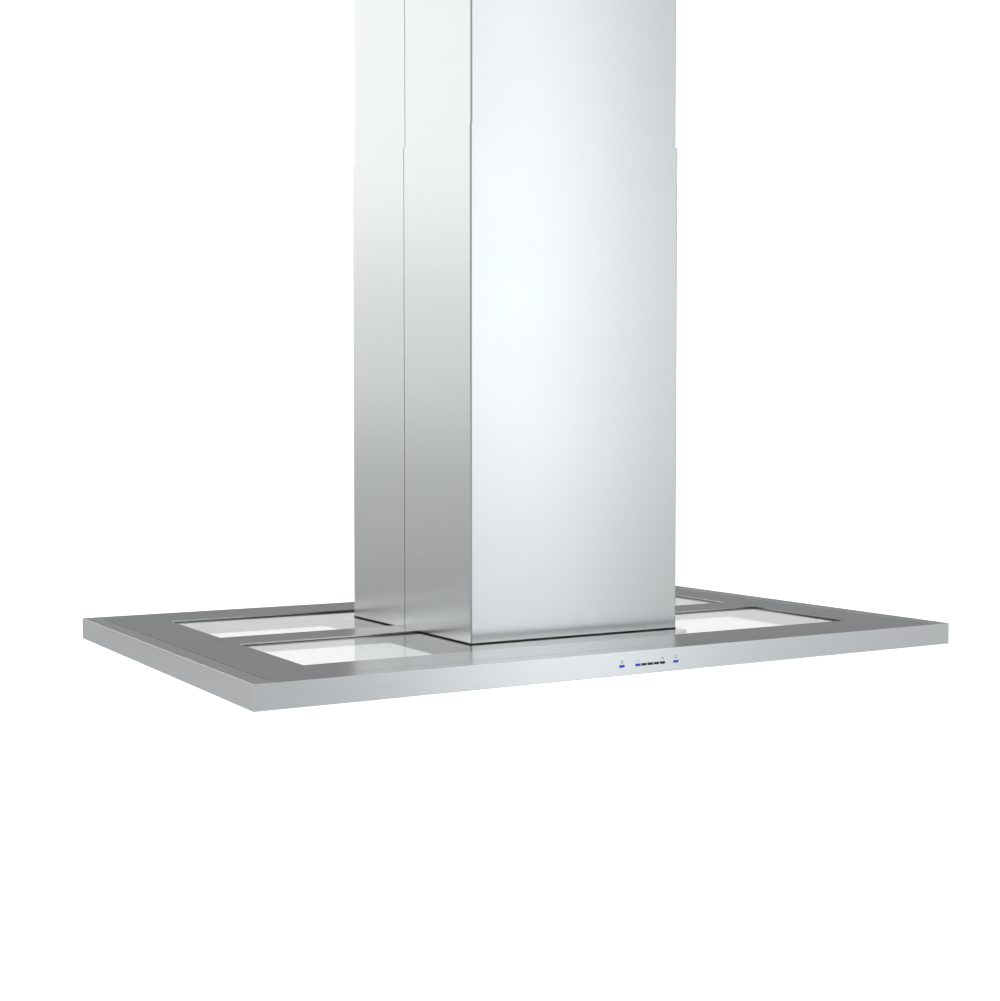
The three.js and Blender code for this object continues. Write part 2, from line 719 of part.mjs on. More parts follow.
function electronicsTray() {
  const half = electronics.width / 2;
  const { height, sheet } = electronics;
  return cut(
    box(-half, half, trayY - trayDepth, trayY, trayZ, trayZ + height),
    box(-half + sheet, half - sheet, trayY - trayDepth - past, trayY - sheet, trayZ + sheet, trayZ + height - sheet),
    rod("z", gland.radius - 1.5, trayZ + height - 3, trayZ + height + past, [gland.x, trayY - trayDepth / 2], 16),
  );
}

function electronicsLid() {
  const half = electronics.width / 2;
  const y = trayY - trayDepth - fit;
  const top = trayZ + electronics.height;
  const lip = 8;
  return join(
    box(-half, half, y - electronics.sheet, y, trayZ, top),
    box(-half + 3, half - 3, y - electronics.sheet, y + lip, trayZ + 2, trayZ + 2 + electronics.sheet),
    box(-half + 3, half - 3, y - electronics.sheet, y + lip, top - 2 - electronics.sheet, top - 2),
  );
}

function cableGland() {
  const z = trayZ + electronics.height + fit;
  const body = turned(
    [
      [gland.bore, z],
      [gland.radius, z],
      [gland.radius, z + gland.nut],
      [gland.radius - 2, z + gland.nut],
      [gland.radius - 2, z + gland.nut + gland.thread],
      [gland.bore, z + gland.nut + gland.thread],
    ],
    12,
  );
  return body.translate([gland.x, trayY - trayDepth / 2, 0]);
}

// ---------------------------------------------------------------- grease filters
const filterY = suctionY - suction.sheet - suction.lip - filter.gap;
const filterInner = filter.gap / 2;
const filterOuter = filterOpening - filter.gap;
const filterTop = panBottom + filter.thickness;

// Baffle panel: frame, lower slats, and upper slats over the gaps. side is -1 on the left.
function greaseFilter(side) {
  const middle = (side * (filterInner + filterOuter)) / 2;
  const half = (filterOuter - filterInner) / 2;
  const inner = half - filter.frame;
  const [y0, y1] = [-filterY + filter.frontFrame, filterY - filter.frame];
  const body = cut(
    box(-half, half, -filterY, filterY, panBottom, filterTop),
    box(-inner, inner, y0, y1, panBottom - past, filterTop + past),
  );
  const pitch = filter.slat + filter.slot;
  const count = Math.floor((2 * inner + filter.slot) / pitch);
  const first = -((count - 1) * pitch) / 2;
  const slats = [];
  for (let i = 0; i < count; i++) {
    const x = first + i * pitch;
    const wide = filter.slat / 2;
    slats.push(box(x - wide, x + wide, y0 - past, y1 + past, panBottom + 0.6, panBottom + 0.6 + filter.slatSheet));
    if (i === count - 1) continue;
    const over = x + pitch / 2;
    slats.push(box(over - wide, over + wide, y0 - past, y1 + past, filterTop - 0.6 - filter.slatSheet, filterTop - 0.6));
  }
  const pocket = box(
    -latch.width / 2 - fit,
    latch.width / 2 + fit,
    -filterY + latch.wall,
    -filterY + latch.wall + latch.length + latch.travel + 2 * fit + 1,
    panBottom - past,
    panBottom + latch.depth + fit,
  );
  const slot = box(
    -latch.tongue / 2 - fit,
    latch.tongue / 2 + fit,
    -filterY - past,
    -filterY + latch.wall + past,
    panBottom + 2.4,
    panBottom + latch.depth + fit,
  );
  return cut(join(body, ...slats), pocket, slot).translate([middle, 0, 0]);
}

// Spring latch in the filter's front edge: a tongue towards the lip, and a rib for the finger below.
function filterLatch(side) {
  const middle = (side * (filterInner + filterOuter)) / 2;
  const y0 = -filterY + latch.wall + fit;
  const top = panBottom + latch.depth;
  const rib = box(-latch.width / 3, latch.width / 3, y0 + latch.length - 3, y0 + latch.length, panBottom - latch.tab, top);
  const body = join(
    box(-latch.width / 2, latch.width / 2, y0, y0 + latch.length, panBottom + fit, top),
    box(-latch.tongue / 2, latch.tongue / 2, -filterY - filter.gap / 2, y0 + past, panBottom + 2.7, top),
    rib,
  );
  return body.translate([middle, 0, 0]);
}

// ---------------------------------------------------------------- assembly
const hood = new THREE.Group();
hood.position.z = -ceiling;
const m = materials;

const sides = [
  ["front", -1],
  ["rear", 1],
];
const hands = [
  ["left", -1],
  ["right", 1],
];

piece(hood, "ceiling_plate", ceilingFlange(), m.galvanised);
piece(hood, "canopy_rim", canopyRim(), m.brushedSteel);
piece(hood, "suction_box", suctionBox(), m.brushedSteel);
piece(hood, "light_guide", lightGuide(), m.indicator);
piece(hood, "control_board", controlBoard(), m.circuit);
piece(hood, "blower_box", blowerBox(), m.galvanised);
piece(hood, "impeller", impellerWheel(), m.blackPlastic);
piece(hood, "motor", motorBody(), m.castMotor);
piece(hood, "motor_shaft", rod("y", shaft.radius, shaft.front, shaft.back, [axle.x, axle.z], 16), m.castMotor);
piece(hood, "motor_bracket", motorSpider(), m.galvanised);
piece(hood, "capacitor", runCapacitor(), m.whitePlastic);
piece(hood, "outlet_collar", outletCollar(), m.galvanised);
piece(hood, "damper_pin", damperPin(), m.galvanised);
piece(hood, "electronics_box", electronicsTray(), m.galvanised);
piece(hood, "electronics_cover", electronicsLid(), m.galvanised);
piece(hood, "cable_gland", cableGland(), m.blackPlastic);

for (const [where, side] of sides) {
  piece(hood, `top_plate_${where}`, topSkin(side), m.brushedSteel);
  piece(hood, `glass_${where}`, glassPane(side), m.glass);
  piece(hood, `glass_seal_${where}`, glassSeal(side), m.rubber);
  piece(hood, `pan_rail_${where}`, panRailAcross(side), m.brushedSteel);
  piece(hood, `bridge_${where}`, bridgeTray(side), m.brushedSteel);
  piece(hood, `lower_tie_${where}`, frameTie(side), m.galvanised);
  piece(hood, `scroll_${where}`, scrollShell(side), m.blackPlastic);
  const lower = coverHalf(side, lowerOuter, coverBottom, coverTop, 0);
  piece(hood, `lower_cover_${where}`, lower, m.brushedSteel);
  const upperSpan = [coverTop + chimney.exposed - cover.upperHeight, ceiling - chimney.ceilingGap];
  piece(hood, `upper_cover_${where}`, coverHalf(side, upperOuter, ...upperSpan, chimney.flange), m.brushedSteel);
  for (const [hand, sx] of hands) {
    piece(hood, `lower_upright_${where}_${hand}`, lowerUpright(sx, side), m.galvanised);
    piece(hood, `upper_upright_${where}_${hand}`, upperUpright(sx, side), m.galvanised);
    const [x, y] = [sx * lampPlace.x, side * lampPlace.y];
    piece(hood, `lamp_${where}_${hand}`, lampBody(x, y), m.aluminium);
    piece(hood, `lamp_lens_${where}_${hand}`, lampLens(x, y), m.lens);
  }
}

for (const [hand, side] of hands) {
  piece(hood, `pan_rail_${hand}`, panRailAlong(side), m.brushedSteel);
  piece(hood, `cross_beam_${hand}`, crossBeam(side), m.brushedSteel);
  piece(hood, `damper_flap_${hand}`, damperFlap(side), m.galvanised);
  piece(hood, `filter_${hand}`, greaseFilter(side), m.brushedSteel);
  piece(hood, `filter_latch_${hand}`, filterLatch(side), m.blackPlastic);
}

export default hood;
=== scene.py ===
"""Island range hood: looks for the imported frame. Metres, +Z up, front at -Y; the ceiling is at z = 0."""

import math

import bmesh
import bpy
from mathutils import Matrix, Vector


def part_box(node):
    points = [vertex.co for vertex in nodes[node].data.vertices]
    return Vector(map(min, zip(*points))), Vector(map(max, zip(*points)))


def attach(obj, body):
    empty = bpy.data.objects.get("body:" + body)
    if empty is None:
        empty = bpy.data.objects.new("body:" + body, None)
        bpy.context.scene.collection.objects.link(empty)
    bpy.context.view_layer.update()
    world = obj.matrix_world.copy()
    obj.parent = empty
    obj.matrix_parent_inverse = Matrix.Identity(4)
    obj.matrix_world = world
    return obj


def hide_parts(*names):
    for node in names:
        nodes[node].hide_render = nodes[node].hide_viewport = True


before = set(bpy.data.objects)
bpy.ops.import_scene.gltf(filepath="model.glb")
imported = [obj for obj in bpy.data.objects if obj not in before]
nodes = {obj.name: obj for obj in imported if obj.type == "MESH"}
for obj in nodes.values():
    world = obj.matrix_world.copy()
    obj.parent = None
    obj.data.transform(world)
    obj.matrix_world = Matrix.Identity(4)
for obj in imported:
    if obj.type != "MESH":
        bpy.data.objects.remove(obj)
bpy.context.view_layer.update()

MM = 0.001
MICRON = 0.001 * MM
FRONTS = ("front", "rear")
HANDS = ("left", "right")
CORNERS = [f"{a}_{b}" for a in FRONTS for b in HANDS]
WAYS = (-1, 1)

# ---- CAD edges, rounded by so many millimetres, and the angles that count as flat and as sharp
SHEET_EDGE = 0.3
PLATE_EDGE = 0.4
COVER_EDGE = 0.35
TOP_EDGE = 0.5
FILTER_EDGE = 0.25
LATCH_EDGE = 0.5
BOARD_EDGE = 0.2
FLAT_ANGLE = math.radians(0.5)
SHARP_ANGLE = math.radians(40)

# ---- painted highlights: how far the brightened edges reach, and where the canopy's side strips start
EDGE_HIGHLIGHT_WIDTH = 1.2 * MM
EDGE_HIGHLIGHT_GAIN = 1.1
SIDE_HIGHLIGHT_WIDTH = 1.4 * MM
SIDE_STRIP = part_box("top_plate_front")[1].x
STRIP_FADE = 2 * MM

# ---- indicators: lit and dark bars left to right, and the printed symbols over them
BAR_WIDTH = 7.4 * MM
BAR_HEIGHT = 2.3 * MM
BAR_CORNER = 0.45 * MM
BAR_DEPTH = 3.2 * MM
BAR_PROUD = 0.15 * MM
LIT = [-45.7, -21.0, 38.8]
DARK = [-11.4, -1.8, 7.8, 17.4]
GUIDE_CORNER = 1.2 * MM
SYMBOL_RISE = 5.7 * MM
STROKE_WIDTH = 0.55 * MM
PRINT_DEPTH = 0.045 * MM
PRINT_BACK = 0.1 * MM
PRINT_STEP = 0.01 * MM

# ---- black lips: bedding strip round the windows, and a black ring round the chimney's foot that is a painted shadow line
BEDDING_GAP = 0.1 * MM
BEDDING_WIDTH = 0.5 * MM
BEDDING_HEIGHTS = (0.05 * MM, 0.25 * MM)
COVER_BEND = 2 * MM
SHADOW_RING_GAP = 0.06 * MM
SHADOW_RING_WIDTH = 0.5 * MM
SHADOW_RING_FOOT = 0.04 * MM
SHADOW_RING_LAP = 0.65 * MM

# ---- screws: head radius, and how far in from a sheet's edges each sits
CEILING_SCREW = 5.6 * MM
CEILING_INSET = 24 * MM
SHEET_SCREW = 3.2 * MM
LID_INSET = (7 * MM, 9 * MM)
FLANGE_INSET = 7 * MM
FLANGE_SHEET = 1.5 * MM
TIE_SCREW = 3 * MM
TIE_INSET = 3.2 * MM

# ---- camera and studio, in metres and degrees
LENS = 53.05
SENSOR = 36
CAMERA_PLACE = (-1.1117, -1.8539, 0.2630)
CAMERA_DIP = 2.284
CAMERA_TURN = 30.569
STUDIO_RADIUS = 9.0
FLOOR_HEIGHT = -2.6
FLOOR_GLOW = 0.85
BACKDROP_GLOW = 1.0
PALE = (0.9, 0.9, 0.9)
SKY_LOW = (0.985, 0.995, 1.0)
SKY_HIGH = (0.45, 0.455, 0.46)
SKY_STRENGTH = 0.5
STUDIO_WHITE = (0.972, 0.992, 1.0)


# ---------------------------------------------------------------- node material helpers
def new_material(name):
    material = bpy.data.materials.new(name)
    material.use_nodes = True
    tree = material.node_tree
    return material, tree, tree.nodes["Principled BSDF"]


def add_node(tree, kind, **values):
    node = tree.nodes.new(kind)
    for key, value in values.items():
        if key in node.inputs:
            node.inputs[key].default_value = value
        else:
            setattr(node, key, value)
    return node


def noise(tree, scale, stretch=(1, 1, 1), detail=3.0):
    """Noise over the object's own coordinates, squeezed by stretch: its grains run along the small factor."""
    place = add_node(tree, "ShaderNodeTexCoord")
    mapping = add_node(tree, "ShaderNodeMapping", Scale=stretch)
    texture = add_node(tree, "ShaderNodeTexNoise", Scale=scale, Detail=detail, Roughness=0.6)
    tree.links.new(place.outputs["Object"], mapping.inputs["Vector"])
    tree.links.new(mapping.outputs["Vector"], texture.inputs["Vector"])
    return texture.outputs["Fac"]


def between(tree, factor, low, high, source=(0.3, 0.7)):
    """factor mapped to a number from low to high."""
    node = add_node(tree, "ShaderNodeMapRange")
    node.inputs["From Min"].default_value, node.inputs["From Max"].default_value = source
    node.inputs["To Min"].default_value, node.inputs["To Max"].default_value = low, high
    tree.links.new(factor, node.inputs["Value"])
    return node.outputs["Result"]


def tinted(tree, factor, low, high, source=(0.35, 0.65)):
    """factor mapped to a colour from low to high."""
    ramp = add_node(tree, "ShaderNodeValToRGB")
    ramp.color_ramp.elements[0].position, ramp.color_ramp.elements[1].position = source
    ramp.color_ramp.elements[0].color = (*low, 1)
    ramp.color_ramp.elements[1].color = (*high, 1)
    tree.links.new(factor, ramp.inputs["Fac"])
    return ramp.outputs["Color"]


def bump(tree, shader, height, distance, strength=1.0, soft=0.0):
    """Fine relief, over edges rounded by soft metres."""
    node = add_node(tree, "ShaderNodeBump", Distance=distance, Strength=strength)
    tree.links.new(height, node.inputs["Height"])
    if soft:
        rounded = add_node(tree, "ShaderNodeBevel", samples=6, Radius=soft)
        tree.links.new(rounded.outputs["Normal"], node.inputs["Normal"])
    tree.links.new(node.outputs["Normal"], shader.inputs["Normal"])


def edge_factor(tree, radius):
    """0 on flat faces and 1 along edges, from how far a rounded normal leans off the true one."""
    rounded = add_node(tree, "ShaderNodeBevel", samples=4, Radius=radius)
    geometry = add_node(tree, "ShaderNodeNewGeometry")
    dot = add_node(tree, "ShaderNodeVectorMath", operation="DOT_PRODUCT")
    tree.links.new(rounded.outputs["Normal"], dot.inputs[0])
    tree.links.new(geometry.outputs["True Normal"], dot.inputs[1])
    return between(tree, dot.outputs["Value"], 1.0, 0.0, source=(0.86, 0.995))


def blend(tree, share, first, second):
    """Two numbers mixed by a fixed share of the second."""
    node = add_node(tree, "ShaderNodeMix", data_type="FLOAT")
    node.inputs[0].default_value = share
    tree.links.new(first, node.inputs[2])
    tree.links.new(second, node.inputs[3])
    return node.outputs[0]


def grain_stretch(grain, along, across):
    """How much noise is squeezed on each axis, for grain that runs along x, along y, or level on every wall."""
    return {
        "x": (along, across, across),
        "y": (across, along, across),
        "level": (along, along, across),
    }[grain]


def brushed_steel(
    name, shade, grain, rough=(0.2, 0.27), tone=(1, 1, 1), depth=5 * MICRON, edge_highlight=False, vary=0.02, soft=0.0
):
    """Brushed stainless. shade times tone is its colour, varied by vary. depth is the hair lines' relief, the
    edge flag brightens its edges as a painted highlight, and soft is the radius that they are rounded by."""
    material, tree, shader = new_material(name)
    hair = noise(tree, scale=34.0, stretch=grain_stretch(grain, 1.2, 90), detail=2.0)
    streak = noise(tree, scale=9.0, stretch=grain_stretch(grain, 0.5, 12), detail=3.0)
    cloud = noise(tree, scale=3.5, detail=4.0)
    lines = blend(tree, 0.45, hair, streak)
    low = tuple(shade * t * (1 - vary) for t in tone)
    high = tuple(min(1.0, shade * t * (1 + vary)) for t in tone)
    colour = tinted(tree, lines, low, high)
    # painted highlight: colour brightened along edges, where the rounded normal leans off the true one
    if edge_highlight:
        highlighted = add_node(tree, "ShaderNodeMix", data_type="RGBA")
        tree.links.new(edge_factor(tree, EDGE_HIGHLIGHT_WIDTH), highlighted.inputs[0])
        tree.links.new(colour, highlighted.inputs[6])
        highlighted.inputs[7].default_value = (*(min(1.0, c * EDGE_HIGHLIGHT_GAIN) for c in high), 1)
        colour = highlighted.outputs[2]
    tree.links.new(colour, shader.inputs["Base Color"])
    shader.inputs["Metallic"].default_value = 1.0
    tree.links.new(between(tree, blend(tree, 0.5, lines, cloud), *rough), shader.inputs["Roughness"])
    bump(tree, shader, hair, depth, strength=0.6, soft=soft)
    return material


def galvanised(name, shade=0.52):
    """Zinc-coated sheet: flat crystals a few millimetres across, each with its own tone and gloss."""
    material, tree, shader = new_material(name)
    place = add_node(tree, "ShaderNodeTexCoord")
    crystals = add_node(tree, "ShaderNodeTexVoronoi", Scale=170.0, Randomness=1.0)
    tree.links.new(place.outputs["Object"], crystals.inputs["Vector"])
    split = add_node(tree, "ShaderNodeSeparateColor")
    tree.links.new(crystals.outputs["Color"], split.inputs["Color"])
    low = (shade * 0.84, shade * 0.87, shade * 0.89)
    high = (shade * 1.08, shade * 1.1, shade * 1.12)
    colour = tinted(tree, split.outputs[0], low, high, source=(0.0, 1.0))
    tree.links.new(colour, shader.inputs["Base Color"])
    shader.inputs["Metallic"].default_value = 1.0
    tree.links.new(between(tree, split.outputs[1], 0.3, 0.46, source=(0, 1)), shader.inputs["Roughness"])
    bump(tree, shader, noise(tree, scale=60.0, detail=4.0), 20 * MICRON, strength=0.5)
    return material


def moulded(name, colour, rough=(0.42, 0.56), grain=900.0, depth=30 * MICRON):
    """Moulded plastic or paint: fine leather-like texture with a slightly cloudy tone."""
    material, tree, shader = new_material(name)
    cloud = noise(tree, scale=14.0)
    low = tuple(c * 0.88 for c in colour)
    high = tuple(min(1.0, c * 1.1) for c in colour)
    tree.links.new(tinted(tree, cloud, low, high), shader.inputs["Base Color"])
    tree.links.new(between(tree, cloud, *rough), shader.inputs["Roughness"])
    bump(tree, shader, noise(tree, scale=grain, detail=2.0), depth, strength=0.5)
    return material


def clear_glass(name, dull, clean):
    """Window glass, its tint drifting from dull to clean in faint smears."""
    material, tree, shader = new_material(name)
    smear = noise(tree, scale=5.0, stretch=(1, 2.2, 1), detail=5.0)
    tree.links.new(tinted(tree, smear, dull, clean), shader.inputs["Base Color"])
    tree.links.new(between(tree, smear, 0.0, 0.025), shader.inputs["Roughness"])
    shader.inputs["Transmission Weight"].default_value = 1.0
    shader.inputs["IOR"].default_value = 1.45
    return material


def glowing(name, colour, strength, dimmest=0.55):
    """Lit plastic: brightest in the middle of each grain of the diffuser."""
    material, tree, shader = new_material(name)
    grain = noise(tree, scale=700.0, detail=2.0)
    dim = tuple(c * dimmest for c in colour)
    shown = tinted(tree, grain, dim, colour, source=(0.2, 0.6))
    tree.links.new(shown, shader.inputs["Base Color"])
    tree.links.new(shown, shader.inputs["Emission Color"])
    shader.inputs["Emission Strength"].default_value = strength
    tree.links.new(between(tree, grain, 0.2, 0.35), shader.inputs["Roughness"])
    return material


def scale_colour(material, factor):
    """Multiplies a material's colour by a number socket."""
    tree = material.node_tree
    base = tree.nodes["Principled BSDF"].inputs["Base Color"]
    scaled = add_node(tree, "ShaderNodeVectorMath", operation="SCALE")
    tree.links.new(base.links[0].from_socket, scaled.inputs[0])
    tree.links.new(factor, scaled.inputs["Scale"])
    tree.links.new(scaled.outputs["Vector"], base)


def facing_up(tree):
    """1 on faces that look up, 0 on walls and -1 on undersides."""
    place = add_node(tree, "ShaderNodeTexCoord")
    facing = add_node(tree, "ShaderNodeSeparateXYZ")
    tree.links.new(place.outputs["Normal"], facing.inputs["Vector"])
    return facing.outputs["Z"]


def off_middle(tree):
    """Metres to the left or right of the hood's middle."""
    place = add_node(tree, "ShaderNodeTexCoord")
    spot = add_node(tree, "ShaderNodeSeparateXYZ")
    tree.links.new(place.outputs["Object"], spot.inputs["Vector"])
    out = add_node(tree, "ShaderNodeMath", operation="ABSOLUTE")
    tree.links.new(spot.outputs["X"], out.inputs[0])
    return out.outputs[0]


def paint_top_shade(material, across, along):
    """Paints shade on a colour's upward faces, scaling it by across at the front and rear and by along on the
    side strips; the side strips' lighter value is a painted reflection standing in for their grain running
    along y.
    """
    tree = material.node_tree
    strip = between(tree, off_middle(tree), across, along, source=(SIDE_STRIP - STRIP_FADE, SIDE_STRIP))
    share = add_node(tree, "ShaderNodeMix", data_type="FLOAT")
    share.inputs[2].default_value = 1.0
    tree.links.new(between(tree, facing_up(tree), 0.0, 1.0, source=(0.5, 0.9)), share.inputs[0])
    tree.links.new(strip, share.inputs[3])
    scale_colour(material, share.outputs[0])


def paint_side_highlights(material, gain):
    """Paints highlights on a material's edges on the canopy's left and right strips: brightens them by gain, as
    bright lines.
    """
    tree = material.node_tree
    inside = (SIDE_STRIP - 2 * STRIP_FADE, SIDE_STRIP - STRIP_FADE)
    side = between(tree, off_middle(tree), 0.0, gain, source=inside)
    highlight_scale = add_node(tree, "ShaderNodeMath", operation="MULTIPLY_ADD")
    tree.links.new(edge_factor(tree, SIDE_HIGHLIGHT_WIDTH), highlight_scale.inputs[0])
    tree.links.new(side, highlight_scale.inputs[1])
    highlight_scale.inputs[2].default_value = 1.0
    scale_colour(material, highlight_scale.outputs[0])


def shade_walls(material, walls):
    """Scales a material's colour by walls on its upright faces, which see little light inside the canopy."""
    tree = material.node_tree
    tilt = add_node(tree, "ShaderNodeMath", operation="ABSOLUTE")
    tree.links.new(facing_up(tree), tilt.inputs[0])
    scale_colour(material, between(tree, tilt.outputs[0], walls, 1.0, source=(0.3, 0.7)))


steel = {
    "rim": brushed_steel("steel_rim", 0.86, "x", rough=(0.2, 0.26), tone=(0.985, 1.0, 1.01), soft=0.9 * MM),
    # top plates and cross beams: the rim's steel in a darker copy, painted shade for faces that look up
    "top": brushed_steel("steel_top_painted_shade", 0.56, "x", rough=(0.2, 0.26), tone=(0.99, 1.0, 1.005)),
    "cover": brushed_steel(
        "steel_cover", 0.69, "level", rough=(0.19, 0.23), tone=(0.985, 1.0, 1.0), depth=3 * MICRON, vary=0.012
    ),
    "inner": brushed_steel("steel_inner", 0.6, "x", rough=(0.26, 0.36)),
    # the filter's edges get a painted highlight
    "filter": brushed_steel("steel_filter", 0.56, "y", rough=(0.22, 0.34), edge_highlight=True),
    "shaft": brushed_steel("steel_shaft", 0.5, "y", rough=(0.16, 0.24)),
    "bezel": brushed_steel("steel_bezel", 0.62, "x", rough=(0.18, 0.28)),
}
# painted shade on the rim's top faces, with a lighter painted reflection on its side strips
paint_top_shade(steel["rim"], across=0.65, along=0.79)
# painted highlights: bright lines along the edges and seams of the canopy's left and right strips, on the rim
# and the top plates
paint_side_highlights(steel["rim"], gain=0.75)
paint_side_highlights(steel["top"], gain=0.75)
shade_walls(steel["inner"], walls=0.28)
zinc = galvanised("zinc_sheet")
black = moulded("black_plastic", (0.022, 0.023, 0.026))
white = moulded("white_plastic", (0.78, 0.78, 0.75), rough=(0.3, 0.45))
rubber = moulded("foam_seal", (0.013, 0.013, 0.014), rough=(0.75, 0.9), grain=1500.0, depth=60 * MICRON)
casing = moulded("motor_paint", (0.16, 0.17, 0.18), rough=(0.35, 0.5), grain=500.0)
board_green = moulded("board_green", (0.02, 0.12, 0.05), rough=(0.3, 0.42), grain=300.0)
glass = clear_glass("window_glass", (0.64, 0.66, 0.652), (0.665, 0.682, 0.675))
frosted = moulded("frosted_lens", (0.83, 0.84, 0.82), rough=(0.3, 0.42), grain=1200.0)
print_grey = moulded("printed_symbol", (0.13, 0.14, 0.15), rough=(0.4, 0.55), grain=2000.0)
print_blue = glowing("lit_symbol", (0.22, 0.38, 0.72), 0.35)
blue = glowing("lit_bar", (0.02, 0.035, 0.5), 0.85)
dark = moulded("dark_bar", (0.004, 0.004, 0.005), rough=(0.2, 0.3), grain=2000.0)


# ---------------------------------------------------------------- CAD nodes: finish and softened edges
def dress(node, material, edge=0.0, segments=2):
    """Gives a CAD node its material and rounds its sharp edges by edge millimetres, inside its own shape."""
    obj = nodes[node]
    obj.data.materials.clear()
    obj.data.materials.append(material)
    if edge:
        flat = obj.modifiers.new("flat", "DECIMATE")
        flat.decimate_type = "DISSOLVE"
        flat.angle_limit = FLAT_ANGLE
        round_edge = obj.modifiers.new("round", "BEVEL")
        round_edge.width = edge * MM
        round_edge.segments = segments
        round_edge.limit_method = "ANGLE"
        round_edge.angle_limit = SHARP_ANGLE
        round_edge.harden_normals = True
        round_edge.use_clamp_overlap = True


dress("canopy_rim", steel["rim"])
dress("suction_box", steel["inner"], SHEET_EDGE)
for side in FRONTS:
    dress(f"top_plate_{side}", steel["top"], TOP_EDGE, segments=3)
    dress(f"glass_{side}", glass)
    dress(f"glass_seal_{side}", rubber)
    dress(f"pan_rail_{side}", steel["inner"], SHEET_EDGE)
    dress(f"bridge_{side}", steel["inner"], SHEET_EDGE)
    dress(f"lower_tie_{side}", zinc, SHEET_EDGE)
    dress(f"scroll_{side}", black)
    dress(f"lower_cover_{side}", steel["cover"], COVER_EDGE, segments=3)
    dress(f"upper_cover_{side}", steel["cover"], COVER_EDGE, segments=3)
for hand in HANDS:
    dress(f"pan_rail_{hand}", steel["inner"], SHEET_EDGE)
    dress(f"cross_beam_{hand}", steel["top"], PLATE_EDGE)
    dress(f"damper_flap_{hand}", zinc)
    dress(f"filter_{hand}", steel["filter"], FILTER_EDGE)
    dress(f"filter_latch_{hand}", black, LATCH_EDGE)
for corner in CORNERS:
    dress(f"lower_upright_{corner}", zinc, SHEET_EDGE)
    dress(f"upper_upright_{corner}", zinc, SHEET_EDGE)
    dress(f"lamp_{corner}", steel["bezel"])
    dress(f"lamp_lens_{corner}", frosted)
dress("ceiling_plate", zinc, PLATE_EDGE)
dress("blower_box", zinc, PLATE_EDGE)
dress("motor_bracket", zinc)
dress("outlet_collar", zinc)
dress("damper_pin", steel["shaft"])
dress("electronics_box", zinc, SHEET_EDGE)
dress("electronics_cover", zinc, SHEET_EDGE)
dress("cable_gland", black, SHEET_EDGE)
dress("impeller", black)
dress("motor", casing)
dress("motor_shaft", steel["shaft"])
dress("capacitor", white)
dress("control_board", board_green, BOARD_EDGE)


# ---------------------------------------------------------------- mesh pieces
def piece(name, mesh, material, body):
    data = bpy.data.meshes.new(name)
    mesh.to_mesh(data)
    mesh.free()
    obj = bpy.data.objects.new(name, data)
    bpy.context.scene.collection.objects.link(obj)
    data.materials.append(material)
    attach(obj, body)
    return obj


def add_loop_prism(mesh, outline, to_world, depth):
    """An outline of (u, v) points made into a closed prism; to_world maps (u, v, w) to a point in the frame."""
    near = [mesh.verts.new(to_world(u, v, 0.0)) for u, v in outline]
    far = [mesh.verts.new(to_world(u, v, depth)) for u, v in outline]
    mesh.faces.new(near)
    mesh.faces.new(list(reversed(far)))
    for i, a in enumerate(near):
        j = (i + 1) % len(near)
        mesh.faces.new((a, far[i], far[j], near[j]))


def closed(mesh):
    bmesh.ops.recalc_face_normals(mesh, faces=mesh.faces)
    return mesh


def rounded_loop(half_x, half_y, r, steps=4):
    """Points round a rectangle with rounded corners, centred on the origin."""
    points = []
    for sx, sy, start in ((1, 1, 0), (-1, 1, 90), (-1, -1, 180), (1, -1, 270)):
        for i in range(steps + 1):
            a = math.radians(start + 90 * i / steps)
            points.append((sx * (half_x - r) + r * math.cos(a), sy * (half_y - r) + r * math.sin(a)))
    return points


def tube(mesh, rings):
    """Faces from each closed ring to the next, and from the last back to the first."""
    for a, b in zip(rings, rings[1:] + rings[:1]):
        join_rings(mesh, a, b)


def join_rings(mesh, a, b):
    """Faces between two closed rings of as many points."""
    for i in range(len(a)):
        j = (i + 1) % len(a)
        mesh.faces.new((a[i], a[j], b[j], b[i]))


rim_low, rim_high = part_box("canopy_rim")
guide_low, guide_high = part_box("light_guide")
bar_z = (guide_low.z + guide_high.z) / 2
front_y = rim_low.y
canopy_top = rim_high.z


def on_front(x, z):
    """Maps (u, v, w) to the front edge of the canopy, around the point (x, z), w into the canopy."""
    return lambda u, v, w: Vector((x + u, front_y - BAR_PROUD + w, z + v))


def indicator_bars(name, places, material):
    mesh = bmesh.new()
    for x in places:
        outline = rounded_loop(BAR_WIDTH / 2, BAR_HEIGHT / 2, BAR_CORNER)
        add_loop_prism(mesh, outline, on_front(x * MM, bar_z), BAR_DEPTH)
    piece(name, closed(mesh), material, "hood")


def guide_base():
    """The strip behind the bars that joins them inside the canopy."""
    mesh = bmesh.new()
    face = front_y + BAR_DEPTH
    half = (guide_high - guide_low) / 2
    centre = Vector(((guide_high.x + guide_low.x) / 2, face, bar_z))
    outline = rounded_loop(half.x, half.z, GUIDE_CORNER)
    add_loop_prism(mesh, outline, lambda u, v, w: centre + Vector((u, w, v)), guide_high.y - face)
    base = piece("light_guide_strip", closed(mesh), frosted, "hood")
    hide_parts("light_guide")


indicator_bars("indicator_bars_lit", LIT, blue)
indicator_bars("indicator_bars_dark", DARK, dark)
guide_base()


def stroke(a, b, width):
    """The outline of a straight printed stroke from a to b."""
    along = (Vector(b) - Vector(a)).normalized()
    across = Vector((-along.y, along.x)) * width / 2
    start, end = Vector(a) - along * width / 2, Vector(b) + along * width / 2
    return [tuple(p) for p in (start + across, start - across, end - across, end + across)]


